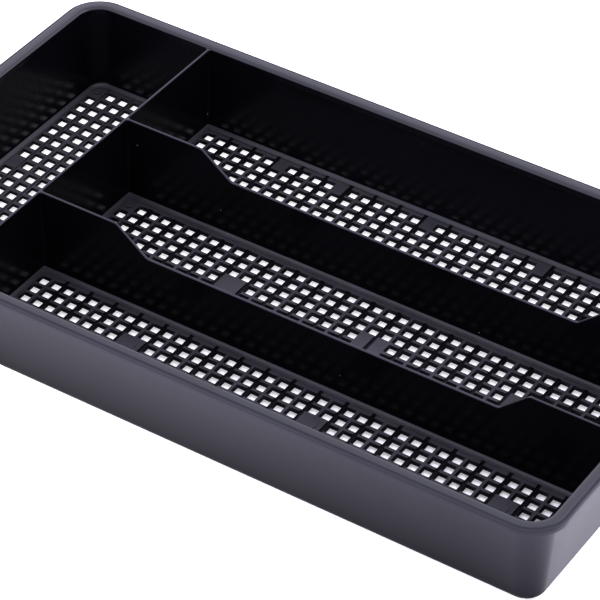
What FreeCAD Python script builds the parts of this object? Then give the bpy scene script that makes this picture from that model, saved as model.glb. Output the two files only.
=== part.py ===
import FreeCAD, Part
import math
import os
from FreeCAD import Vector

# Drawer organizer insert: one injection moulding, split at its feature
# boundaries into touching solids. Millimetres, +Z up. The origin is the centre
# of the footprint on the plane the tray rests on. +X runs along the long side
# to the right, +Y to the rear.
# An inset is a distance inward from the reference contour, a rounded rectangle.

# ---- overall ----
LENGTH = 350.0           # reference contour, along X
WIDTH = 198.0            # reference contour, along Y
HEIGHT = 43.15           # top of the rim bead
CORNER_RADIUS = 16.0     # of the reference contour, all others are concentric
LIP = 0.3                # how far the rim's lip stands outside the contour
HALF_LENGTH = LENGTH / 2
HALF_WIDTH = WIDTH / 2

# ---- heights of the floor and walls ----
Z_UNDERSIDE = 1.4        # underside of the mesh panels
Z_PANEL = 2.8            # top of the mesh panels
Z_LEDGE = 3.05           # top of the plain border around the meshes
Z_RIM = 39.6             # where the walls end and the rim begins

# ---- walls, as insets ----
OUTER_BOTTOM = 7.4       # outer face at the resting plane
OUTER_TOP = 4.2          # outer face under the rim
INNER_BOTTOM = 9.1       # inner face at the top of the mesh panels
INNER_TOP = 6.15         # inner face under the rim
TOE_INSET = 11.25        # toe of the fillet between wall and floor border
FLOOR_FILLET = 2.2       # height of that fillet
BOTTOM_ROUNDING = 2.5    # between wall and underside
FILLET_MIDDLE = 0.33     # a fillet arc's middle point, as a share of its width and height

# ---- floor ----
PANEL_INSET = 11.3       # least inset of a mesh panel
PANEL_MARGIN = 1.95      # panel border outside the outermost holes
BORDER_INSET = 15.0      # inner end of the border's outer ring
SLAB_INSET = 14.0        # edge of the slab inside that ring, overlapping it
OVERSHOOT = 0.5          # run of a hole's cutter past both panel faces

# ---- dividers ----
CROSS_X = -106.4         # cross divider
LONG_Y = 30.8            # the two long dividers, at plus and minus this
RIB_TOP = 1.0            # thickness at the top edge
RIB_BOTTOM = 2.0         # thickness at the floor
FOOT_FILLET = 1.9
FOOT_GAP = 0.15          # least distance from the foot to a mesh panel
Z_DIVIDER = 42.1         # top of the dividers
Z_LOWERED = {"rear": 30.7, "front": 30.2}   # top of the long dividers' lowered middle
SLOPE_X = (-67.4, -52.0, 115.2, 128.2)      # slopes beside it: start, foot, foot, end
SLOPE_ROUNDING = 3.5     # at both ends of the slopes


def cells_2x2(columns, row):
    """Blocks of two by two cells that begin at the given columns and row."""
    return [(column + i, row + j) for column in columns for i in (0, 1) for j in (0, 1)]


# ---- mesh panels ----
# columns:  X of the first column, pitch, count
# rows:     Y of the rear row, pitch towards the front, count
# hole:     side of the square opening at the panel's top and underside
# channel:  groove between column pairs: width, depth, run past the panel's
#           edge (negative: short of it)
# first_channel: column after which the first channel lies, then every second one
# closed:   cells (column, row) without a hole
# bosses:   round bosses: column, row (may be fractional), radius, height
MESHES = {
    "left": dict(
        columns=(-160.75, 6.731, 8), rows=(83.2, 6.9, 25), hole=(4.8, 4.2),
        channel=(0.5, 0.3, 0.0), first_channel=0,
        closed=[(0, 0), (0, 9), (0, 24)],
        bosses=[(0, 0, 1.7, 0.35), (0, 24, 1.7, 0.35)]),
    "rear": dict(
        columns=(-100.25, 6.331, 42), rows=(83.4, 6.45, 8), hole=(5.0, 3.4),
        channel=(1.8, 0.7, 0.4), first_channel=1,
        closed=[(6, 0), (11, 0), (18, 0), (27, 0)],
        bosses=[]),
    "middle": dict(
        columns=(-100.25, 6.331, 42), rows=(22.75, 6.5, 8), hole=(5.0, 3.4),
        channel=(1.8, 0.7, -1.5), first_channel=1,
        closed=[(0, 0)] + cells_2x2((10, 21, 32), 3),
        bosses=[(0, 0, 1.7, 0.35)]),
    "front": dict(
        columns=(-100.25, 6.331, 42), rows=(-39.0, 6.45, 8), hole=(5.0, 3.5),
        channel=(1.8, 0.7, 0.4), first_channel=1,
        closed=cells_2x2((8, 22, 36), 2),
        bosses=[(8.5, 2.25, 3.4, 0.3), (22.5, 2.25, 3.4, 0.3), (36.5, 2.25, 3.4, 0.3)]),
}


def outer_inset(z):
    return OUTER_BOTTOM + (OUTER_TOP - OUTER_BOTTOM) * z / Z_RIM


def inner_inset(z):
    return INNER_BOTTOM + (INNER_TOP - INNER_BOTTOM) * (z - Z_PANEL) / (Z_RIM - Z_PANEL)


# ---- profiles ----
# Closed lists of corners (inset, z). A third value "m" marks the middle point
# of an arc between its neighbours.

# Crowned bead, a fine groove, then a lower shoulder that ends in a short lip.
RIM_PROFILE = [
    (inner_inset(Z_RIM), Z_RIM), (6.08, 41.2),
    (5.6, 42.6, "m"), (4.4, HEIGHT - 0.02),
    (3.4, HEIGHT, "m"), (2.3, HEIGHT - 0.05),
    (1.78, HEIGHT - 0.14, "m"), (1.6, HEIGHT - 0.32),
    (1.45, 42.72), (0.5, 42.75),
    (-0.066, 42.516, "m"), (-LIP, 41.95),
    (-LIP, 40.45),
    (-LIP + 0.06, 40.31, "m"), (-LIP + 0.2, 40.25),
    (3.7, 40.25),
    (4.05, 40.1, "m"), (outer_inset(Z_RIM), Z_RIM),
]

Z_FILLET = Z_LEDGE + FLOOR_FILLET
FILLET_INSET = inner_inset(Z_FILLET)
WALL_PROFILE = [
    (outer_inset(Z_LEDGE), Z_LEDGE), (outer_inset(Z_RIM), Z_RIM),
    (inner_inset(Z_RIM), Z_RIM), (FILLET_INSET, Z_FILLET),
    (FILLET_INSET + (TOE_INSET - FILLET_INSET) * FILLET_MIDDLE,
     Z_LEDGE + FLOOR_FILLET * FILLET_MIDDLE, "m"),
    (TOE_INSET, Z_LEDGE),
]

# The factors fit the bottom rounding to the sloping outer face.
Z_ROUNDING = BOTTOM_ROUNDING * 0.92
ROUNDING_INSET = outer_inset(Z_ROUNDING)
BORDER_PROFILE = [
    (outer_inset(Z_LEDGE), Z_LEDGE), (ROUNDING_INSET, Z_ROUNDING),
    (ROUNDING_INSET + BOTTOM_ROUNDING * 0.30, BOTTOM_ROUNDING * 0.29, "m"),
    (ROUNDING_INSET + BOTTOM_ROUNDING * 0.98, 0.0),
    (BORDER_INSET, 0.0), (BORDER_INSET, Z_LEDGE),
]

# ---- plan of the contour ----
STRAIGHT_X = LENGTH - 2 * CORNER_RADIUS
STRAIGHT_Y = WIDTH - 2 * CORNER_RADIUS
# outward angle, corner (X sign, Y sign) where the side starts, its run
SIDES = {
    "right": (0.0, (1, -1), Vector(0, STRAIGHT_Y, 0)),
    "rear": (math.pi / 2, (1, 1), Vector(-STRAIGHT_X, 0, 0)),
    "left": (math.pi, (-1, 1), Vector(0, -STRAIGHT_Y, 0)),
    "front": (-math.pi / 2, (-1, -1), Vector(STRAIGHT_X, 0, 0)),
}
# angle where the quarter turn of each corner starts
CORNERS = {(1, 1): 0.0, (1, -1): -math.pi / 2, (-1, 1): math.pi / 2, (-1, -1): math.pi}


# ---- shape helpers ----
def arc(start, middle, end):
    return Part.Arc(start, middle, end).toShape()


def corner_centre(sign_x, sign_y):
    return Vector(sign_x * (HALF_LENGTH - CORNER_RADIUS),
                  sign_y * (HALF_WIDTH - CORNER_RADIUS), 0)


def section(profile, centre, angle):
    """Face of a profile in the vertical plane through centre, outward at angle."""
    points = []
    for inset, z, *_ in profile:
        radius = CORNER_RADIUS - inset
        points.append(Vector(centre.x + radius * math.cos(angle),
                             centre.y + radius * math.sin(angle), z))
    count = len(points)
    edges = []
    i = 0
    while i < count:
        after = (i + 1) % count
        if len(profile[after]) > 2:
            edges.append(arc(points[i], points[after], points[(i + 2) % count]))
            i += 2
        else:
            edges.append(Part.makeLine(points[i], points[after]))
            i += 1
    return Part.Face(Part.Wire(edges))


def side(profile, name):
    angle, signs, run = SIDES[name]
    return section(profile, corner_centre(*signs), angle).extrude(run)


def corner(profile, signs):
    centre = corner_centre(*signs)
    return section(profile, centre, CORNERS[signs]).revolve(centre, Vector(0, 0, 1), 90)


def ring(profile):
    """Pieces of a profile carried all round the contour."""
    return [side(profile, name) for name in SIDES] + [corner(profile, s) for s in CORNERS]


def solid(shape, name):
    """The single valid solid in shape, turned outward if needed."""
    if len(shape.Solids) != 1:
        raise RuntimeError("%s has %d solids" % (name, len(shape.Solids)))
    result = shape.Solids[0]
    if result.Volume < 0:
        result = Part.makeSolid(result.Shells[0].reversed())
    if not result.isValid() or result.Volume <= 0:
        raise RuntimeError("%s is not a valid solid: %g" % (name, result.Volume))
    return result


def largest(shape):
    return max(shape.Solids, key=lambda piece: piece.Volume)


def rounded_slab(inset, z0, z1):
    """Prism over the plan contour at an inset."""
    radius = CORNER_RADIUS - inset
    x, y = HALF_LENGTH - inset, HALF_WIDTH - inset
    sag = radius * (1 - math.sqrt(0.5))
    edges = []
    last = Vector(-x + radius, -y, z0)
    for sx, sy in ((1, -1), (1, 1), (-1, 1), (-1, -1)):
        start = Vector(sx * (x - radius), sy * y, z0)
        middle = Vector(sx * (x - sag), sy * (y - sag), z0)
        end = Vector(sx * x, sy * (y - radius), z0)
        if sx == sy:
            start, end = end, start
        edges += [Part.makeLine(last, start), arc(start, middle, end)]
        last = end
    return Part.Face(Part.Wire(edges)).extrude(Vector(0, 0, z1 - z0))


def box(x0, x1, y0, y1, z0, z1):
    return Part.makeBox(x1 - x0, y1 - y0, z1 - z0, Vector(x0, y0, z0))


def tapered_block(x, y, bottom, top, z0, z1):
    """Block centred on x, y; bottom and top are half sizes (X, Y) at z0 and z1."""
    def rectangle(half_x, half_y, z):
        return [Vector(x - half_x, y - half_y, z), Vector(x + half_x, y - half_y, z),
                Vector(x + half_x, y + half_y, z), Vector(x - half_x, y + half_y, z)]
    low, high = rectangle(*bottom, z0), rectangle(*top, z1)
    loops = [low, high]
    for i in range(4):
        j = (i + 1) % 4
        loops.append([low[i], low[j], high[j], high[i]])
    faces = [Part.Face(Part.makePolygon(loop + loop[:1])) for loop in loops]
    block = Part.makeSolid(Part.makeShell(faces))
    if block.Volume < 0:
        block.reverse()
    return block


# ---- floor ----
def panel_extent(name):
    """Extent x0, x1, y0, y1 of a mesh panel, kept clear of walls and divider feet."""
    mesh = MESHES[name]
    first_x, pitch_x, columns = mesh["columns"]
    first_y, pitch_y, rows = mesh["rows"]
    reach = mesh["hole"][0] / 2 + PANEL_MARGIN
    foot = RIB_BOTTOM / 2 + FOOT_FILLET + FOOT_GAP
    limit_x, limit_y = HALF_LENGTH - PANEL_INSET, HALF_WIDTH - PANEL_INSET
    x0, x1 = first_x - reach, first_x + (columns - 1) * pitch_x + reach
    if name == "left":
        return -limit_x, min(x1, CROSS_X - foot), -limit_y, limit_y
    y0 = max(first_y - (rows - 1) * pitch_y - reach, -limit_y)
    y1 = min(first_y + reach, limit_y)
    if name == "rear":
        y0 = max(y0, LONG_Y + foot)
    if name == "front":
        y1 = min(y1, -LONG_Y - foot)
    return max(x0, CROSS_X + foot), min(x1, limit_x), y0, y1


def hole_cutter(x, y, top, bottom):
    """Tapered square cutter that overshoots both faces of the panel."""
    widening = (top - bottom) / 2 / (Z_PANEL - Z_UNDERSIDE) * OVERSHOOT
    low = bottom / 2 - widening
    high = top / 2 + widening
    return tapered_block(x, y, (low, low), (high, high),
                         Z_UNDERSIDE - OVERSHOOT, Z_PANEL + OVERSHOOT)


def channel_cutters(name, past, z_top):
    """Boxes for a panel's channels, running past its front and rear edges."""
    mesh = MESHES[name]
    first_x, pitch, columns = mesh["columns"]
    width, depth, _ = mesh["channel"]
    _, _, y0, y1 = panel_extent(name)
    cutters = []
    for i in range(mesh["first_channel"], columns - 1, 2):
        x = first_x + (i + 0.5) * pitch
        cutters.append(box(x - width / 2, x + width / 2, y0 - past, y1 + past,
                           Z_PANEL - depth, z_top))
    return cutters


def channel_end_cutters():
    """Channels that run on past their panel, cut from the parts around it."""
    cutters = []
    for name, mesh in MESHES.items():
        run = mesh["channel"][2]
        if run > 0:
            cutters += channel_cutters(name, run, Z_LEDGE + 1)
    return cutters


def mesh_panel(name, outline):
    mesh = MESHES[name]
    first_x, pitch_x, columns = mesh["columns"]
    first_y, pitch_y, rows = mesh["rows"]
    plate = box(*panel_extent(name), Z_UNDERSIDE, Z_PANEL).common(outline)
    plate = plate.cut([hole_cutter(first_x + i * pitch_x, first_y - j * pitch_y, *mesh["hole"])
                       for i in range(columns) for j in range(rows)
                       if (i, j) not in mesh["closed"]])
    run = mesh["channel"][2]
    past = run if run < 0 else 0.1
    plate = plate.cut(channel_cutters(name, past, Z_PANEL + 1))
    for column, row, radius, height in mesh["bosses"]:
        base = Vector(first_x + column * pitch_x, first_y - row * pitch_y, Z_UNDERSIDE)
        plate = plate.fuse(Part.makeCylinder(radius, Z_PANEL + height - Z_UNDERSIDE, base))
    return plate.removeSplitter() if mesh["bosses"] else plate


def floor_border(outline, channel_ends):
    slab = rounded_slab(SLAB_INSET, 0, Z_LEDGE)
    border = slab.multiFuse(ring(BORDER_PROFILE)).removeSplitter()
    border = border.cut([box(*panel_extent(name), -1, Z_LEDGE + 1).common(outline)
                         for name in MESHES])
    return border.cut(channel_ends)


# ---- dividers ----
def cavity():
    """Space between the sloping inner wall faces, with square corners."""
    def half_sizes(z):
        return HALF_LENGTH - inner_inset(z), HALF_WIDTH - inner_inset(z)
    z_top = 60
    return tapered_block(0, 0, half_sizes(0), half_sizes(z_top), 0, z_top)


def rib(y, x0, x1):
    """Tapered rib with a filleted foot, along X, centred on y."""
    top, bottom = RIB_TOP / 2, RIB_BOTTOM / 2
    z_fillet = Z_LEDGE + FOOT_FILLET
    half = bottom + (top - bottom) * FOOT_FILLET / (Z_DIVIDER - Z_LEDGE)
    toe = bottom + FOOT_FILLET
    middle = half + (toe - half) * FILLET_MIDDLE

    def point(offset, z):
        return Vector(x0, y + offset, z)
    edges = []
    for sign in (1, -1):
        edges.append(arc(point(sign * toe, Z_LEDGE),
                         point(sign * middle, Z_LEDGE + FOOT_FILLET * FILLET_MIDDLE),
                         point(sign * half, z_fillet)))
        edges.append(Part.makeLine(point(sign * half, z_fillet), point(sign * top, Z_DIVIDER)))
    edges.append(Part.makeLine(point(top, Z_DIVIDER), point(-top, Z_DIVIDER)))
    edges.append(Part.makeLine(point(-toe, Z_LEDGE), point(toe, Z_LEDGE)))
    face = Part.Face(Part.Wire(Part.__sortEdges__(edges)))
    return face.extrude(Vector(x1 - x0, 0, 0))


def rounding(before, point, after, radius):
    """Start, middle and end of the arc that rounds the corner at point."""
    back, ahead = before - point, after - point
    back = back * (1 / back.Length)
    ahead = ahead * (1 / ahead.Length)
    half_angle = math.acos(back.dot(ahead)) / 2
    trim = radius / math.tan(half_angle)
    bisector = (back + ahead) * (1 / (back + ahead).Length)
    middle = point + bisector * (radius / math.sin(half_angle) - radius)
    return point + back * trim, middle, point + ahead * trim


def lowering_cutter(y, z_low):
    """Prism that lowers the middle of a long divider, with rounded slopes."""
    end_run, headroom, half_depth = 12, 5, 10
    start, foot_1, foot_2, end = SLOPE_X
    chain = [Vector(x, 0, z) for x, z in (
        (start - end_run, Z_DIVIDER), (start, Z_DIVIDER), (foot_1, z_low),
        (foot_2, z_low), (end, Z_DIVIDER), (end + end_run, Z_DIVIDER))]
    edges = []
    last = chain[0]
    for before, point, after in zip(chain, chain[1:], chain[2:]):
        arc_points = rounding(before, point, after, SLOPE_ROUNDING)
        edges += [Part.makeLine(last, arc_points[0]), arc(*arc_points)]
        last = arc_points[2]
    up = Vector(0, 0, headroom)
    outline = [last, chain[-1], chain[-1] + up, chain[0] + up, chain[0]]
    edges += [Part.makeLine(a, b) for a, b in zip(outline, outline[1:])]
    face = Part.Face(Part.Wire(edges))
    face.translate(Vector(0, -half_depth, 0))
    cutter = face.extrude(Vector(0, 2 * half_depth, 0))
    cutter.translate(Vector(0, y, 0))
    return cutter


def cross_divider(space, shell):
    divider = rib(0, -HALF_WIDTH, HALF_WIDTH)
    turn = FreeCAD.Rotation(Vector(0, 0, 1), 90)
    divider.Placement = FreeCAD.Placement(Vector(CROSS_X, 0, 0), turn)
    return largest(divider.common(space).cut(shell))


def long_divider(y, z_low, space, cross, shell, channel_ends):
    divider = rib(y, CROSS_X, HALF_LENGTH).common(space)
    return largest(divider.cut([cross, lowering_cutter(y, z_low)] + shell + channel_ends))


# ---- pieces ----
parts = {}


def add(name, shape):
    parts[name] = solid(shape, name)


rim_pieces = ring(RIM_PROFILE)
add("rim", rim_pieces[0].multiFuse(rim_pieces[1:]).removeSplitter())

channel_ends = channel_end_cutters()
for name in ("front", "rear", "left", "right"):
    add("wall_" + name, side(WALL_PROFILE, name))
for name in ("front", "rear"):
    add("wall_" + name, parts["wall_" + name].cut(channel_ends))
for signs in CORNERS:
    name_x = "right" if signs[0] > 0 else "left"
    name_y = "rear" if signs[1] > 0 else "front"
    add("corner_%s_%s" % (name_y, name_x), corner(WALL_PROFILE, signs))

panel_outline = rounded_slab(PANEL_INSET, -1, 10)
for name in MESHES:
    add("floor_mesh_" + name, mesh_panel(name, panel_outline))
add("floor_border", floor_border(panel_outline, channel_ends))

shell = [parts["wall_" + name] for name in ("front", "rear", "left", "right")] + [parts["rim"]]
space = cavity()
add("divider_cross", cross_divider(space, shell))
for name, y in (("rear", LONG_Y), ("front", -LONG_Y)):
    add("divider_" + name, long_divider(y, Z_LOWERED[name], space, parts["divider_cross"],
                                        shell, channel_ends))

os.makedirs("parts", exist_ok=True)
for name, shape in parts.items():
    shape.exportStep("parts/%s.step" % name)
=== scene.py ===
# A shallow black plastic tray with rounded corners, an open mesh floor and three thin dividers.
# It stands on z = 0, centred on the origin: length along X (left is -X, right is +X), width
# along Y (front is -Y, rear is +Y). The cross divider runs along Y, the two long ones along X.
# Shapes are in millimetres and become metres in the meshes; the stage is in metres.
import math

import bmesh
import bpy
import numpy as np
from mathutils import Matrix, Vector


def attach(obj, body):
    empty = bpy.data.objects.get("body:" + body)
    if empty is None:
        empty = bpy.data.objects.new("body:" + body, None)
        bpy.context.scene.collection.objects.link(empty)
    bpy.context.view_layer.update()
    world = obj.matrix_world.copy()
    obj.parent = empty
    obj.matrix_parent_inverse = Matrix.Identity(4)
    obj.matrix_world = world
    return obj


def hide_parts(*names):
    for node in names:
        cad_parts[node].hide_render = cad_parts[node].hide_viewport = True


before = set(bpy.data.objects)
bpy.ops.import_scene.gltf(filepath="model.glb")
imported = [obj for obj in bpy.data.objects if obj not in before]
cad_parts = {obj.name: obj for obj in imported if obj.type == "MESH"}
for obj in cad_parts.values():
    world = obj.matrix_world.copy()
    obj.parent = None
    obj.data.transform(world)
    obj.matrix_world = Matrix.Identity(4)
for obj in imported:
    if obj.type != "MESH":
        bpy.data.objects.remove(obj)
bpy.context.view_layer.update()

MM = 0.001

# Outline and heights. An inset is a distance inward from the outline.
LENGTH, WIDTH, HEIGHT = 350.0, 198.0, 43.15
HALF_X, HALF_Y = LENGTH / 2, WIDTH / 2
CORNER_RADIUS = 16.0
CORNER_STEPS = 28
SIDE_STEPS = 8
Z_RIM = 39.6          # top of the walls, where the rim starts
Z_LEDGE = 3.05        # underside of walls and dividers
Z_FLOOR = 2.8         # reference height of the floor

# Walls
OUTER_INSET_LOW, OUTER_INSET_HIGH = 7.4, 4.2
INNER_INSET_LOW, INNER_INSET_HIGH = 9.1, 6.15
FILLET_HEIGHT = 2.2
TOE_INSET = 11.25     # inner end of the foot fillet
CUT_INSET = 10.9      # the same where a channel cuts the fillet
LIP = 0.3             # how far the rim stands out beyond the outline

# Dividers
CROSS_X = -106.4
LONG_Y = 30.8
DIVIDER_TOP_Z = 42.1
THICK_TOP, THICK_LOW = 1.0, 2.0
FOOT_RADIUS = 1.9
TOP_EDGE_RADIUS = 0.40
FLARE_RADIUS = 1.3    # at the ends, in plan
END_TOP_Z = 41.3      # above this the dividers' ends stay upright
MID_Z = 20.0          # height at which a divider's length is taken
DIP_X = (-67.4, -52.0, 115.2, 128.2)   # corners of the dip in the long dividers' top line
DIP_RADIUS = 3.5
DIP_Z = {"rear": 30.7, "front": 30.2}
REAR_FOOT_REACH = 2.65   # rear divider's foot at a channel, on its +Y side

# Channels across the foot fillets: every second cell of the pitch
CHANNEL_START, CHANNEL_PITCH, CHANNEL_WIDTH = -100.25, 6.331, 1.8
CHANNEL_CENTRES = [CHANNEL_START + (i + 0.5) * CHANNEL_PITCH for i in range(1, 41, 2)]
CHANNELS = [(x - CHANNEL_WIDTH / 2, x + CHANNEL_WIDTH / 2) for x in CHANNEL_CENTRES]

# Floor pieces
FLOOR_BEVEL = 0.11
BORDER_INSET = 9.0    # nearer the outline than this, the floor border looks like the outer wall


def outer_inset(z):
    return OUTER_INSET_LOW + (OUTER_INSET_HIGH - OUTER_INSET_LOW) * z / Z_RIM


def inner_inset(z):
    return (INNER_INSET_LOW
            + (INNER_INSET_HIGH - INNER_INSET_LOW) * (z - Z_FLOOR) / (Z_RIM - Z_FLOOR))


# ------------------------------------------------------------------ materials
class Shader:
    """Short calls for building a node tree."""

    def __init__(self, tree):
        self.tree = tree

    def feed(self, socket, value):
        """Link an output socket to the input, or set the input to a plain value."""
        if isinstance(value, bpy.types.NodeSocket):
            self.tree.links.new(value, socket)
        else:
            socket.default_value = value

    def node(self, kind, inputs=(), **settings):
        node = self.tree.nodes.new("ShaderNode" + kind)
        for key, value in settings.items():
            setattr(node, key, value)
        for key, value in dict(inputs).items():
            self.feed(node.inputs[key], value)
        return node

    def math(self, operation, *values):
        return self.node("Math", enumerate(values), operation=operation).outputs[0]

    def remap(self, value, to, span=(0.0, 1.0)):
        return self.node("MapRange", {
            "Value": value, "From Min": span[0], "From Max": span[1],
            "To Min": to[0], "To Max": to[1]}).outputs[0]

    def noise(self, vector, scale, detail, rough):
        return self.node("TexNoise", {"Vector": vector, "Scale": scale, "Detail": detail,
                                      "Roughness": rough}).outputs["Fac"]

    def blend(self, factor, first, second):
        return self.node("Mix", {"Factor": factor, "A": first, "B": second},
                         data_type="RGBA").outputs["Result"]

    def bell(self, distance, width):
        """exp(-(distance / width)^2)"""
        square = self.math("POWER", self.math("DIVIDE", distance, width), 2.0)
        return self.math("EXPONENT", self.math("MULTIPLY", square, -1.0))


def painted_shade_specular(shader, place, specular):
    """Specular level painted to drop on the front wall, as painted shade: at its foot, to the left
    and by the right end.
    """
    foot_height, foot_power, foot_level = 0.036, 0.8, 0.20
    right_x, right_width, right_loss = 0.165, 0.12, 0.33
    front_y, front_width = 0.088, 0.010
    left_x, left_length, left_loss = 0.06, 0.22, 0.27
    calc = shader.math
    x, y, z = shader.node("SeparateXYZ", {0: place}).outputs
    height = calc("MAXIMUM", calc("MINIMUM", calc("DIVIDE", z, foot_height), 1.0), 0.0)
    rise = calc("MULTIPLY", calc("POWER", height, foot_power), 1.0 - foot_level)
    level = calc("ADD", rise, foot_level)
    front = shader.bell(calc("MAXIMUM", calc("ADD", y, front_y), 0.0), front_width)
    right = shader.bell(calc("ABSOLUTE", calc("SUBTRACT", x, right_x)), right_width)
    right = calc("MULTIPLY", right, front)
    left = calc("DIVIDE", calc("SUBTRACT", left_x, x), left_length)
    left = calc("MINIMUM", calc("MAXIMUM", left, 0.0), 1.0)
    level = calc("MULTIPLY", level, calc("SUBTRACT", 1.0, calc("MULTIPLY", left, left_loss)))
    # behind the front wall the level stays whole
    level = calc("SUBTRACT", 1.0, calc("MULTIPLY", front, calc("SUBTRACT", 1.0, level)))
    keep = calc("SUBTRACT", 1.0, calc("MULTIPLY", right, right_loss))
    return calc("MULTIPLY", calc("MULTIPLY", level, keep), specular)


def plastic(name, color, rough, rough_var, specular, tint=(0.80, 0.775), grain=0.15, wave=0.04,
            dust=0.0, paint_reflection_shade=False):
    """Moulded black plastic: satin grain, slow waves, rubbed streaks and specks of dust.

    tint: red and green of the reflection. dust: share of the speck cells that show."""
    material = bpy.data.materials.new(name)
    material.use_nodes = True
    material.node_tree.nodes.clear()
    shader = Shader(material.node_tree)
    output = shader.node("OutputMaterial")
    surface = shader.node("BsdfPrincipled", {"IOR": 1.5, "Specular IOR Level": specular,
                                             "Specular Tint": (*tint, 1.0, 1)})
    shader.feed(output.inputs[0], surface.outputs[0])
    place = shader.node("TexCoord").outputs["Object"]

    # colour drifting between a darker and a lighter shade
    drift = shader.noise(place, scale=38, detail=4, rough=0.6)
    shade = shader.blend(shader.remap(drift, span=(0.3, 0.7), to=(0, 1)),
                         (*[c * 0.75 for c in color], 1), (*[c * 1.3 for c in color], 1))
    # dust: rare tiny pale dots, one to a picked cell
    cells = shader.node("TexVoronoi", {"Vector": place, "Scale": 210}, feature="F1")
    dot = shader.remap(cells.outputs["Distance"], span=(0.03, 0.07), to=(1, 0))
    chance = shader.node("SeparateColor", {0: cells.outputs["Color"]}).outputs[0]
    picked = shader.math("GREATER_THAN", chance, 1.0 - dust)
    speck = shader.math("MULTIPLY", dot, picked)
    dusty = shader.blend(speck, shade, (0.22, 0.22, 0.25, 1))
    shader.feed(surface.inputs["Base Color"], dusty)

    # roughness: cloudy patches plus streaks along X
    clouds = shader.remap(shader.noise(place, scale=55, detail=5, rough=0.65),
                          span=(0.25, 0.75), to=(rough - rough_var, rough + rough_var))
    stretched = shader.node("Mapping", {0: place, "Scale": (1, 14, 14)}).outputs[0]
    streaks = shader.remap(shader.noise(stretched, scale=9, detail=6, rough=0.7),
                           span=(0.35, 0.7), to=(-0.015, 0.015))
    shader.feed(surface.inputs["Roughness"], shader.math("ADD", clouds, streaks))
    # painted shade: the reflection is weakened toward the foot of the front wall, its left part and
    # its right end
    if paint_reflection_shade:
        shader.feed(surface.inputs["Specular IOR Level"],
                    painted_shade_specular(shader, place, specular))

    # relief: fine grain over slow waves
    fine = shader.node("Bump", {
        "Strength": grain, "Distance": 0.00004,
        "Height": shader.noise(place, scale=2600, detail=2, rough=0.6)})
    slow = shader.node("Bump", {
        "Strength": wave, "Distance": 0.0008, "Normal": fine.outputs[0],
        "Height": shader.noise(place, scale=24, detail=2, rough=0.4)})
    shader.feed(surface.inputs["Normal"], slow.outputs[0])
    return material


BLACK = (0.0042, 0.0042, 0.0052)
# darker black for the inside copies of the one plastic: painted shade
PAINTED_SHADE_BLACK = (0.0012, 0.0013, 0.0018)
MAT_RIM = plastic("plastic_rim", BLACK, rough=0.30, rough_var=0.04, specular=0.43,
                  tint=(0.87, 0.89))
# painted shade: the shelf outside the rim's top is darker, standing in for the shade in the crease
# there
MAT_STEP_PAINTED_SHADE = plastic("plastic_step_painted_shade", BLACK, rough=0.30, rough_var=0.04, specular=0.27)
# outer walls, lip and border: reflection carries painted shade at the front wall's foot and ends
MAT_OUTSIDE_PAINTED_SHADE = plastic("plastic_outside_painted_shade", BLACK, rough=0.22, rough_var=0.04, specular=0.56,
                      tint=(0.84, 0.82), paint_reflection_shade=True)
# inside, corner and divider copies: darker and less reflective, as painted shade inside the tray
MAT_INSIDE_PAINTED_SHADE = plastic("plastic_inside_painted_shade", PAINTED_SHADE_BLACK, rough=0.20, rough_var=0.03, specular=0.17,
                     dust=0.09)
MAT_CORNER_PAINTED_SHADE = plastic("plastic_inside_corner_painted_shade", PAINTED_SHADE_BLACK, rough=0.36, rough_var=0.03,
                     specular=0.09, dust=0.09)
MAT_DIVIDER_PAINTED_SHADE = plastic("plastic_divider_painted_shade", PAINTED_SHADE_BLACK, rough=0.20, rough_var=0.03,
                      specular=0.045, dust=0.09)
# lit copies of the plastic: painted light on the dividers' top edges, the floor's top faces and the
# fillets' feet
MAT_EDGE_PAINTED_LIGHT = plastic("plastic_edge_painted_light", BLACK, rough=0.34, rough_var=0.04, specular=0.40)
MAT_FLOOR_PAINTED_LIGHT = plastic("plastic_floor_painted_light", (0.026, 0.026, 0.030), rough=0.42, rough_var=0.05,
                    specular=0.24, tint=(0.92, 0.94), grain=0.12, wave=0.02)
# painted shade in holes, channels, notches and on the sides of steps
MAT_RECESS_PAINTED_SHADE = plastic("plastic_recess_painted_shade", (0.0014, 0.0014, 0.0018), rough=0.50, rough_var=0.05,
                     specular=0.12, grain=0.12, wave=0.02)


# ------------------------------------------------------------------ profile helpers
def arc_through(start, middle, end, steps):
    """Points of the arc start-middle-end, both ends included."""
    (ax, ay), (bx, by), (cx, cy) = start, middle, end
    det = 2 * (ax * (by - cy) + bx * (cy - ay) + cx * (ay - by))
    sq_a, sq_b, sq_c = ax * ax + ay * ay, bx * bx + by * by, cx * cx + cy * cy
    mid_x = (sq_a * (by - cy) + sq_b * (cy - ay) + sq_c * (ay - by)) / det
    mid_y = (sq_a * (cx - bx) + sq_b * (ax - cx) + sq_c * (bx - ax)) / det
    from_angle, via_angle, to_angle = (math.atan2(y - mid_y, x - mid_x)
                                       for x, y in (start, middle, end))
    radius = math.hypot(ax - mid_x, ay - mid_y)

    def unwrap(angle, sign):
        while (angle - from_angle) * sign < 0:
            angle += sign * 2 * math.pi
        while (angle - from_angle) * sign > 2 * math.pi:
            angle -= sign * 2 * math.pi
        return angle

    # of the two ways round, take the one that meets the middle point before the end
    for sign in (1, -1):
        via, last = unwrap(via_angle, sign), unwrap(to_angle, sign)
        if (via - from_angle) * sign <= (last - from_angle) * sign:
            break
    angles = [from_angle + (last - from_angle) * k / steps for k in range(steps + 1)]
    return [(mid_x + radius * math.cos(a), mid_y + radius * math.sin(a)) for a in angles]


def chain(*items):
    """Join points and lists of points, dropping repeats."""
    out = []
    for item in items:
        for p in (item if isinstance(item, list) else [item]):
            if not out or math.hypot(out[-1][0] - p[0], out[-1][1] - p[1]) > 1e-5:
                out.append(p)
    return out


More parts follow.
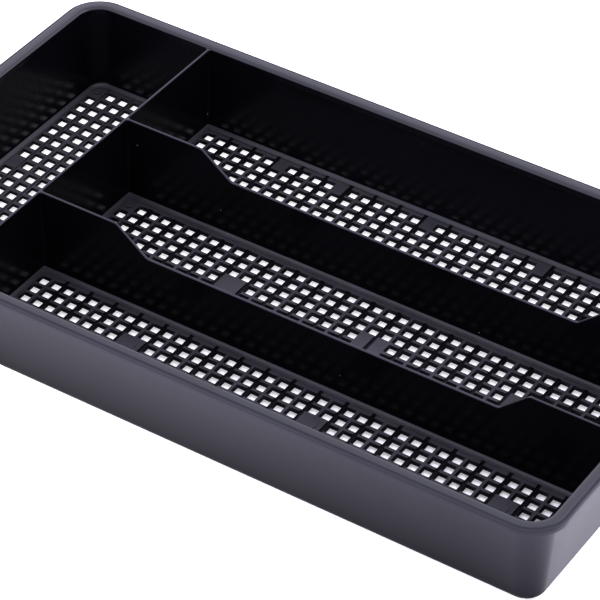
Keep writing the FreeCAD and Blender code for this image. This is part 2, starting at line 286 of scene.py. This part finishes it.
def stations(stretch):
    """Stations (corner centre x, y, outward angle, 0) counter-clockwise along a stretch."""
    x, y = HALF_X - CORNER_RADIUS, HALF_Y - CORNER_RADIUS
    corners = {"rear_right": (x, y, 0.0), "rear_left": (-x, y, math.pi / 2),
               "front_left": (-x, -y, math.pi), "front_right": (x, -y, 1.5 * math.pi)}
    sides = {"right": ("front_right", "rear_right"), "rear": ("rear_right", "rear_left"),
             "left": ("rear_left", "front_left"), "front": ("front_left", "front_right")}

    def corner(name):
        cx, cy, first = corners[name]
        return [(cx, cy, first + k / CORNER_STEPS * math.pi / 2, 0)
                for k in range(CORNER_STEPS + 1)]

    if stretch == "ring":
        return [s for name in corners for s in corner(name)]
    if stretch in corners:
        return corner(stretch)
    (ax, ay, _), (bx, by, angle) = (corners[name] for name in sides[stretch])
    return [(ax + (bx - ax) * k / SIDE_STEPS, ay + (by - ay) * k / SIDE_STEPS, angle, 0)
            for k in range(SIDE_STEPS + 1)]


class MeshBuilder:
    """Collects faces with their own corner normals and shares equal corners."""

    def __init__(self):
        self.verts, self.index, self.faces, self.normals, self.slots = [], {}, [], [], []

    def vert(self, p):
        key = (round(p[0], 4), round(p[1], 4), round(p[2], 4))
        if key not in self.index:
            self.index[key] = len(self.verts)
            self.verts.append(tuple(p))
        return self.index[key]

    def face(self, points, normals=None, slot=0):
        """Add a face turned to its normals; without normals it keeps its winding."""
        ids, kept = [], []
        for p, normal in zip(points, normals or [(0, 0, 0)] * len(points)):
            i = self.vert(p)
            if not ids or i != ids[-1]:
                ids.append(i)
                kept.append(normal)
        if len(ids) > 1 and ids[0] == ids[-1]:
            ids.pop()
            kept.pop()
        if len(ids) < 3 or len(set(ids)) != len(ids):
            return
        corners = [Vector(self.verts[i]) for i in ids]
        area, wanted = Vector((0, 0, 0)), Vector((0, 0, 0))
        for i, corner in enumerate(corners):
            following = corners[(i + 1) % len(corners)]
            area += (corner - corners[0]).cross(following - corners[0])
            wanted += Vector(kept[i])
        if area.dot(wanted) < 0:
            ids, kept = ids[::-1], kept[::-1]
        self.faces.append(ids)
        self.normals += [tuple(n) for n in kept]
        self.slots.append(slot)

    def object(self, name, materials, own_normals=True):
        mesh = bpy.data.meshes.new(name)
        mesh.from_pydata([(x * MM, y * MM, z * MM) for x, y, z in self.verts], [], self.faces)
        for material in materials:
            mesh.materials.append(material)
        mesh.polygons.foreach_set("material_index", self.slots)
        mesh.polygons.foreach_set("use_smooth", [True] * len(mesh.polygons))
        mesh.update()
        if own_normals:
            mesh.normals_split_custom_set(self.normals)
        obj = bpy.data.objects.new(name, mesh)
        bpy.context.scene.collection.objects.link(obj)
        return obj


def weigh_normals(obj, sharp_degrees):
    obj.data.set_sharp_from_angle(angle=math.radians(sharp_degrees))
    modifier = obj.modifiers.new("wn", "WEIGHTED_NORMAL")
    modifier.keep_sharp = True
    modifier.weight = 50


def register(obj, node):
    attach(obj, "root")
    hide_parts(node)


def profile_normals(profile, crease=50.0):
    """Normals at the start and end of every segment of a closed profile, and flat ones."""
    segments = np.roll(profile, -1, axis=0) - profile
    lengths = np.linalg.norm(segments, axis=1)
    flat = np.stack([segments[:, 1], -segments[:, 0]], 1) / np.maximum(lengths, 1e-9)[:, None]
    start, end = flat.copy(), flat.copy()
    for i in range(len(profile)):
        h = (i - 1) % len(profile)
        smooth = np.dot(flat[h], flat[i]) > math.cos(math.radians(crease))
        if lengths[h] > 1e-6 and lengths[i] > 1e-6 and smooth:
            shared = flat[h] * lengths[h] + flat[i] * lengths[i]
            shared /= np.linalg.norm(shared)
            start[i] = shared
            end[h] = shared
    return start, end, flat


# Material slots that walls and dividers share: painted light on low up-facing faces, painted shade
# in recesses
PAINTED_LIGHT_SLOT, PAINTED_SHADE_SLOT = 2, 3


def sweep(name, profile, stretch, materials, slot_of, cut_profile=None):
    """Closed solid: a profile of (inset, height) carried along a stretch, with exact normals.

    cut_profile: as many points as profile, used inside the channels of a straight stretch.
    slot_of: gives the slot from a segment's two points and its (inset, height) normal."""
    line = stations(stretch)
    closed = stretch == "ring"
    plain = np.array(profile, float)
    cut = plain if cut_profile is None else np.array(cut_profile, float)
    area = 0.5 * np.sum(plain[:, 0] * np.roll(plain[:, 1], -1)
                        - np.roll(plain[:, 0], -1) * plain[:, 1])
    if area < 0:
        plain, cut = plain[::-1].copy(), cut[::-1].copy()
    count = len(plain)
    sections = [(plain, *profile_normals(plain)), (cut, *profile_normals(cut))]
    if cut_profile is not None:
        # two stations at each channel edge: one plain, one cut; the sort keeps their order
        run = [(s[0], 0) for s in line
               if not any(low - 0.3 < s[0] < high + 0.3 for low, high in CHANNELS)]
        for low, high in CHANNELS:
            run += [(low, 0), (low, 1), (high, 1), (high, 0)]
        run.sort(key=lambda s: s[0])
        if line[-1][0] < line[0][0]:
            run.reverse()
        line = [(x, line[0][1], line[0][2], section) for x, section in run]
    builder = MeshBuilder()

    def point(station, i):
        cx, cy, angle, section = station
        inset, z = sections[section][0][i]
        radius = CORNER_RADIUS - inset
        return (cx + radius * math.cos(angle), cy + radius * math.sin(angle), z)

    def turned(normal, angle):
        return (-normal[0] * math.cos(angle), -normal[0] * math.sin(angle), normal[1])

    total = len(line)
    for k in range(total if closed else total - 1):
        here, there = line[k], line[(k + 1) % total]
        a, b = here[2], there[2]
        channel_edge = sum(abs(here[c] - there[c]) for c in range(3)) < 1e-9
        for i in range(count):
            j = (i + 1) % count
            quad = [point(here, i), point(here, j), point(there, j), point(there, i)]
            if channel_edge:
                # the channel's side faces look into the channel and get painted shade
                sign = 1 if here[3] == 0 else -1
                normal = (-math.sin(a) * sign, math.cos(a) * sign, 0)
                builder.face(quad, [normal] * 4, PAINTED_SHADE_SLOT)
                continue
            points, start, end, flat = sections[here[3]]
            normals = [turned(start[i], a), turned(end[i], a),
                       turned(end[i], b), turned(start[i], b)]
            builder.face(quad, normals, slot_of(points[i], points[j], flat[i]))
    if not closed:
        for station, sign in ((line[0], -1), (line[-1], 1)):
            a = station[2]
            normal = (-math.sin(a) * sign, math.cos(a) * sign, 0.0)
            builder.face([point(station, i) for i in range(count)], [normal] * count)
    return builder.object(name, materials)


# ------------------------------------------------------------------ rim
# (inset, height) from the inner wall, over the top, down the outer lip and back underneath
RIM_PROFILE = chain(
    (inner_inset(Z_RIM), Z_RIM), (6.12, 40.6),
    arc_through((6.08, 41.2), (5.6, 42.6), (4.4, HEIGHT - 0.02), 14),
    arc_through((4.4, HEIGHT - 0.02), (3.4, HEIGHT), (2.3, HEIGHT - 0.05), 6),
    arc_through((2.3, HEIGHT - 0.05), (1.78, HEIGHT - 0.14), (1.6, HEIGHT - 0.32), 6),
    (1.45, 42.72),
    (0.5, 42.75),
    arc_through((0.5, 42.75), (-0.066, 42.516), (-LIP, 41.95), 8),
    (-LIP, 40.45),
    arc_through((-LIP, 40.45), (-LIP + 0.06, 40.31), (-LIP + 0.2, 40.25), 3),
    (3.7, 40.25),
    arc_through((3.7, 40.25), (4.05, 40.1), (outer_inset(Z_RIM), Z_RIM), 4),
)


def rim_slot(p, q, normal):
    """0 top, 1 the step outside it with painted shade, 2 outer lip and underside, 3 inner face with
    painted shade.
    """
    inset = (p[0] + q[0]) / 2
    if normal[0] > 0.8 and inset > 5.9:
        return 3
    if 0.49 < inset < 1.7 and normal[1] > -0.5:
        return 1
    return 2 if inset < 0.49 or normal[1] < -0.5 else 0


rim = sweep("rim", RIM_PROFILE, "ring", [MAT_RIM, MAT_STEP_PAINTED_SHADE, MAT_OUTSIDE_PAINTED_SHADE, MAT_INSIDE_PAINTED_SHADE], rim_slot)
register(rim, "rim")

# ------------------------------------------------------------------ walls
FILLET_Z = Z_LEDGE + FILLET_HEIGHT
FILLET_INSET = inner_inset(FILLET_Z)
FILLET = arc_through(
    (FILLET_INSET, FILLET_Z),
    (FILLET_INSET + (TOE_INSET - FILLET_INSET) * 0.33, Z_LEDGE + FILLET_HEIGHT * 0.33),
    (TOE_INSET, Z_LEDGE), 14)
WALL_FACES = chain(
    [(outer_inset(z), z) for z in np.linspace(Z_LEDGE, Z_RIM, 9)],
    [(inner_inset(z), z) for z in np.linspace(Z_RIM, FILLET_Z, 9)][:-1],
)


def cut_fillet(points, limit):
    """Same number of points, with the part beyond the limit pulled back to an upright face."""
    kept = [p for p in points if p[0] < limit]
    last, beyond = kept[-1], points[len(kept)]
    share = (limit - last[0]) / (beyond[0] - last[0])
    z_cut = last[1] + (beyond[1] - last[1]) * share
    rest = len(points) - len(kept)
    return kept + [(limit, z_cut + (Z_LEDGE - z_cut) * k / max(1, rest - 1))
                   for k in range(rest)]


def wall_slot(p, q, normal):
    """0 outside, 1 inside, then the floor material as painted light low on the fillet and the recess
    material as painted shade.
    """
    if abs(p[0] - CUT_INSET) < 1e-6 and abs(q[0] - CUT_INSET) < 1e-6:
        return PAINTED_SHADE_SLOT
    if max(p[1], q[1]) < FILLET_Z + 0.01 and normal[0] > 0.0 and normal[1] > 0.62:
        return PAINTED_LIGHT_SLOT
    return 1 if normal[0] > 0.2 else 0


def wall(node, stretch, inside, channelled=False):
    obj = sweep(node, WALL_FACES + FILLET, stretch,
                [MAT_OUTSIDE_PAINTED_SHADE, inside, MAT_FLOOR_PAINTED_LIGHT, MAT_RECESS_PAINTED_SHADE], wall_slot,
                WALL_FACES + cut_fillet(FILLET, CUT_INSET) if channelled else None)
    register(obj, node)


for side in ("front", "rear", "left", "right"):
    wall("wall_" + side, side, MAT_INSIDE_PAINTED_SHADE, channelled=side in ("front", "rear"))
for corner_name in ("front_left", "front_right", "rear_left", "rear_right"):
    wall("corner_" + corner_name, corner_name, MAT_CORNER_PAINTED_SHADE)


# ------------------------------------------------------------------ dividers
def half_thick(z):
    return THICK_LOW / 2 + (THICK_TOP - THICK_LOW) / 2 * (z - Z_LEDGE) / (DIVIDER_TOP_Z - Z_LEDGE)


def end_inset(z):
    """Inset of the wall face that a divider's end meets."""
    return inner_inset(min(z, END_TOP_Z))


def dipped_top(low):
    """(x, z) points of a long divider's top line, its four corners rounded."""
    x0, x1, x2, x3 = DIP_X
    path = [(x0 - 60, DIVIDER_TOP_Z), (x0, DIVIDER_TOP_Z), (x1, low), (x2, low),
            (x3, DIVIDER_TOP_Z), (x3 + 60, DIVIDER_TOP_Z)]
    out = []
    for i in range(1, 5):
        corner = np.array(path[i])
        back = np.array(path[i - 1]) - corner
        ahead = np.array(path[i + 1]) - corner
        back /= np.linalg.norm(back)
        ahead /= np.linalg.norm(ahead)
        half = math.acos(np.clip(back.dot(ahead), -1, 1)) / 2
        trim = DIP_RADIUS / math.tan(half)
        inward = (back + ahead) / np.linalg.norm(back + ahead)
        middle = corner + inward * (DIP_RADIUS / math.sin(half) - DIP_RADIUS)
        out += arc_through(tuple(corner + back * trim), tuple(middle),
                           tuple(corner + ahead * trim), 10)
    return out


def rib_side(z_top):
    """(half thickness, z) up one side: foot fillet, tapered face, rounded top edge."""
    foot_z = Z_LEDGE + FOOT_RADIUS
    foot = []
    for k in range(9):
        t = k / 8 * math.pi / 2
        foot.append((half_thick(foot_z) + FOOT_RADIUS * (1 - math.sin(t)),
                     Z_LEDGE + FOOT_RADIUS * (1 - math.cos(t))))
    radius = min(TOP_EDGE_RADIUS, half_thick(z_top) - 0.05)
    upper = [(half_thick(z), z) for z in np.linspace(foot_z, z_top - radius, 8)[1:]]
    for k in range(1, 7):
        t = k / 6 * math.pi / 2
        upper.append((half_thick(z_top) - radius + radius * math.cos(t),
                      z_top - radius + radius * math.sin(t)))
    return foot, upper


def divider(name, along, fixed, ends, top_line=None, foot_reach=None):
    """Tapered rib with a rounded top edge, a filleted foot and flared ends.

    along: 'x' or 'y'; fixed: its place on the other axis. ends: two functions of z that give
    where the rib meets its neighbours. top_line: (x, z) points, or None for a level top.
    foot_reach: how far the foot reaches on the +Y side at a channel; None for no channels."""
    low_end, high_end = ends[0](MID_Z), ends[1](MID_Z)
    if top_line:
        top_x, top_z = zip(*top_line)
        places = sorted({round(x, 4) for x in top_x}
                        | {round(x, 4) for x in np.linspace(low_end + 6, high_end - 6, 24)})
        places = [x for x in places if low_end + 4 < x < high_end - 4]
    else:
        places = list(np.linspace(low_end + 5, high_end - 5, 22))

    # (place, 1 inside a channel), with two sections at each channel edge
    cuts = CHANNELS if foot_reach else []
    run = [(x, int(any(a < x < b for a, b in cuts))) for x in places
           if not any(abs(x - edge) < 1e-3 for cut in cuts for edge in cut)]
    for a, b in cuts:
        run += [(a, 0), (a, 1), (b, 1), (b, 0)]
    run.sort(key=lambda s: s[0])
    # distances from an end, closely spaced over the flare; the first reaches into the wall
    steps = [-0.4, 0.0, 0.08, 0.22, 0.45, 0.75, 1.05, 1.3, 2.2]
    line = ([("low", s, 0) for s in steps] + [("mid", x, cut) for x, cut in run]
            + [("high", s, 0) for s in steps[::-1]])

    rings = []
    for kind, s, cut in line:
        def position(z):
            if kind == "low":
                return ends[0](z) + s
            if kind == "high":
                return ends[1](z) - s
            return s
        z_top = float(np.interp(position(MID_Z), top_x, top_z)) if top_line else DIVIDER_TOP_Z
        flare = 0.0
        if kind != "mid":
            rest = FLARE_RADIUS - max(0.0, min(FLARE_RADIUS, s))
            flare = FLARE_RADIUS - math.sqrt(max(0.0, FLARE_RADIUS ** 2 - rest ** 2))
        foot, upper = rib_side(z_top)
        plus_foot = [(min(h, foot_reach), z) for h, z in foot] if cut else foot
        ring = ([(-h - flare, z) for h, z in foot + upper]
                + [(h + flare, z) for h, z in (plus_foot + upper)[::-1]])
        rings.append([(position(z), fixed + h, z) if along == "x" else (fixed + h, position(z), z)
                      for h, z in ring])
    rows = len(rings[0])

    def rib_slot(row):
        """0 sides and underside, 1 top edge as painted light, the floor material's painted light on
        the low part of the foot.
        """
        level = min(row, rows - 2 - row)
        if 0 <= level < 5:
            return PAINTED_LIGHT_SLOT
        return 1 if level >= rows // 2 - 7 else 0

    builder = MeshBuilder()
    for k in range(len(rings) - 1):
        channel_edge = (line[k][0] == line[k + 1][0] == "mid"
                        and abs(line[k][1] - line[k + 1][1]) < 1e-9)
        for i in range(rows):
            j = (i + 1) % rows
            builder.face([rings[k][i], rings[k][j], rings[k + 1][j], rings[k + 1][i]],
                         slot=PAINTED_SHADE_SLOT if channel_edge else rib_slot(i))
    builder.face(rings[0])
    builder.face(rings[-1])
    obj = builder.object(name, [MAT_DIVIDER_PAINTED_SHADE, MAT_EDGE_PAINTED_LIGHT, MAT_FLOOR_PAINTED_LIGHT, MAT_RECESS_PAINTED_SHADE],
                         own_normals=False)
    bm = bmesh.new()
    bm.from_mesh(obj.data)
    bmesh.ops.recalc_face_normals(bm, faces=bm.faces)
    bm.to_mesh(obj.data)
    bm.free()
    weigh_normals(obj, 50)
    register(obj, name)


divider("divider_cross", "y", CROSS_X,
        (lambda z: -HALF_Y + end_inset(z), lambda z: HALF_Y - end_inset(z)))
for side, divider_y, reach in (("rear", LONG_Y, REAR_FOOT_REACH), ("front", -LONG_Y, None)):
    divider("divider_" + side, "x", divider_y,
            (lambda z: CROSS_X + half_thick(z), lambda z: HALF_X - end_inset(z)),
            dipped_top(DIP_Z[side]), reach)


# ------------------------------------------------------------------ floor
def outline_inset(p):
    return min(HALF_X * MM - abs(p.x), HALF_Y * MM - abs(p.y))


def bevelled(node, accept):
    """Copy of a CAD solid, bevelled where accept(edge's middle point) holds."""
    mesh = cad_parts[node].data.copy()
    obj = bpy.data.objects.new(node + "_detailed", mesh)
    bpy.context.scene.collection.objects.link(obj)
    bm = bmesh.new()
    bm.from_mesh(mesh)
    bmesh.ops.remove_doubles(bm, verts=bm.verts, dist=1e-6)
    bmesh.ops.recalc_face_normals(bm, faces=bm.faces)
    edges = [e for e in bm.edges if len(e.link_faces) == 2
             and e.calc_face_angle(0) > math.radians(30)
             and accept((e.verts[0].co + e.verts[1].co) / 2)]
    bmesh.ops.bevel(bm, geom=edges, offset=FLOOR_BEVEL * MM, offset_type="OFFSET", segments=2,
                    profile=0.5, affect="EDGES", clamp_overlap=True)
    bm.to_mesh(mesh)
    bm.free()
    mesh.materials.clear()
    for material in (MAT_FLOOR_PAINTED_LIGHT, MAT_RECESS_PAINTED_SHADE, MAT_OUTSIDE_PAINTED_SHADE):
        mesh.materials.append(material)
    # painted light on the top faces, painted shade on steep and low faces, the outer wall's plastic
    # near the outline
    top, recess, outside = range(3)
    slots = []
    for face in mesh.polygons:
        centre, normal = face.center, face.normal
        steep_or_low = abs(normal.z) < 0.35 or centre.z < (Z_FLOOR - 0.2) * MM
        if outline_inset(centre) < BORDER_INSET * MM and normal.z > -0.9:
            slots.append(outside)
        elif normal.z > -0.5 and steep_or_low:
            slots.append(recess)
        else:
            slots.append(top)
    mesh.polygons.foreach_set("material_index", slots)
    mesh.polygons.foreach_set("use_smooth", [True] * len(mesh.polygons))
    if mesh.has_custom_normals:
        bpy.context.view_layer.objects.active = obj
        with bpy.context.temp_override(object=obj, active_object=obj):
            bpy.ops.mesh.customdata_custom_splitnormals_clear()
    weigh_normals(obj, 60)
    register(obj, node)


for part in ("left", "rear", "middle", "front"):
    bevelled("floor_mesh_" + part, lambda p: p.z > 2.3 * MM)
bevelled("floor_border", lambda p: p.z > 2.0 * MM and outline_inset(p) > 9.9 * MM)

# ------------------------------------------------------------------ stage, light, camera
scene = bpy.context.scene
scene.view_settings.view_transform = "Standard"
scene.view_settings.look = "None"
scene.view_settings.exposure = 0.0
scene.view_settings.gamma = 1.0


def paper():
    """White paper with a painted glow, emitting light though it is no lamp, that fades toward the
    right and the front.
    """
    material = bpy.data.materials.new("paper_white_painted_glow")
    material.use_nodes = True
    shader = Shader(material.node_tree)
    surface = material.node_tree.nodes["Principled BSDF"].inputs
    mottle = shader.node("TexNoise", {"Scale": 4}).outputs["Fac"]
    grey = shader.remap(mottle, to=(0.86, 0.90))
    color = shader.node("CombineColor", {0: grey, 1: grey, 2: grey})
    shader.feed(surface["Base Color"], color.outputs[0])

    place = shader.node("TexCoord").outputs["Object"]
    x, y, _ = shader.node("SeparateXYZ", {0: place}).outputs
    slope = shader.math("ADD", shader.math("MULTIPLY", x, 2.9), shader.math("MULTIPLY", y, -5.0))
    glow = shader.remap(slope, span=(-0.8, 1.0), to=(0.82, 0.06))
    # extra painted light, seen by the camera only, from the foot of the front and right walls
    # outward, painting over the contact shadow there
    front = shader.remap(y, span=(-0.0875, -0.0915), to=(0.0, 0.6))
    right = shader.remap(x, span=(0.1635, 0.1675), to=(0.0, 0.6))
    seen = shader.node("LightPath").outputs["Is Camera Ray"]
    glow = shader.math("MULTIPLY_ADD", shader.math("MAXIMUM", front, right), seen, glow)
    shader.feed(surface["Emission Strength"], glow)
    surface["Emission Color"].default_value = (1.0, 1.0, 1.0, 1)
    surface["Roughness"].default_value = 0.9
    surface["Specular IOR Level"].default_value = 0.0
    return material


GROUND_HALF, GROUND_Z = 6.0, -0.0002
ground_mesh = bpy.data.meshes.new("ground")
ground_mesh.from_pydata([(x * GROUND_HALF, y * GROUND_HALF, GROUND_Z)
                         for x, y in ((-1, -1), (1, -1), (1, 1), (-1, 1))], [], [(0, 1, 2, 3)])
ground = bpy.data.objects.new("ground", ground_mesh)
scene.collection.objects.link(ground)
ground_mesh.materials.append(paper())

world = bpy.data.worlds.new("studio")
scene.world = world
world.use_nodes = True
background = world.node_tree.nodes["Background"]
background.inputs["Color"].default_value = (0.864, 0.842, 1.0, 1)
background.inputs["Strength"].default_value = 2.3

light = bpy.data.lights.new("softbox_right", "AREA")
light.shape = "RECTANGLE"
light.size, light.size_y = 1.2, 1.0
light.energy = 12
light.color = (0.88, 0.86, 1.0)
softbox = bpy.data.objects.new("softbox_right", light)
softbox.location = (1.5, 0.7, 1.0)
softbox_aim = Vector((0.25, 0.0, 0.0)) - Vector((1.5, 0.7, 1.0))
softbox.rotation_mode = "QUATERNION"
softbox.rotation_quaternion = softbox_aim.to_track_quat("-Z", "Y")
scene.collection.objects.link(softbox)

camera_data = bpy.data.cameras.new("camera")
camera_data.sensor_width = 36.0
camera_data.lens = 194.1402140941
camera_data.clip_start, camera_data.clip_end = 0.05, 50
camera = bpy.data.objects.new("camera", camera_data)
# the camera's own X, Y and Z axes in the world
camera_axes = Matrix((
    (0.836727831526015, 0.547570539556901, 0.007282867507847762),
    (-0.35061359780654555, 0.5254525081160604, 0.7752223982494901),
    (0.4206621458877926, -0.6512036286169676, 0.6316464146127734))).transposed()
camera_place = (0.5645731389284618, -0.8697107331462525, 0.8556786483183885)
camera.matrix_world = Matrix.Translation(camera_place) @ camera_axes.to_4x4()
scene.collection.objects.link(camera)
scene.camera = camera

bpy.context.view_layer.update()
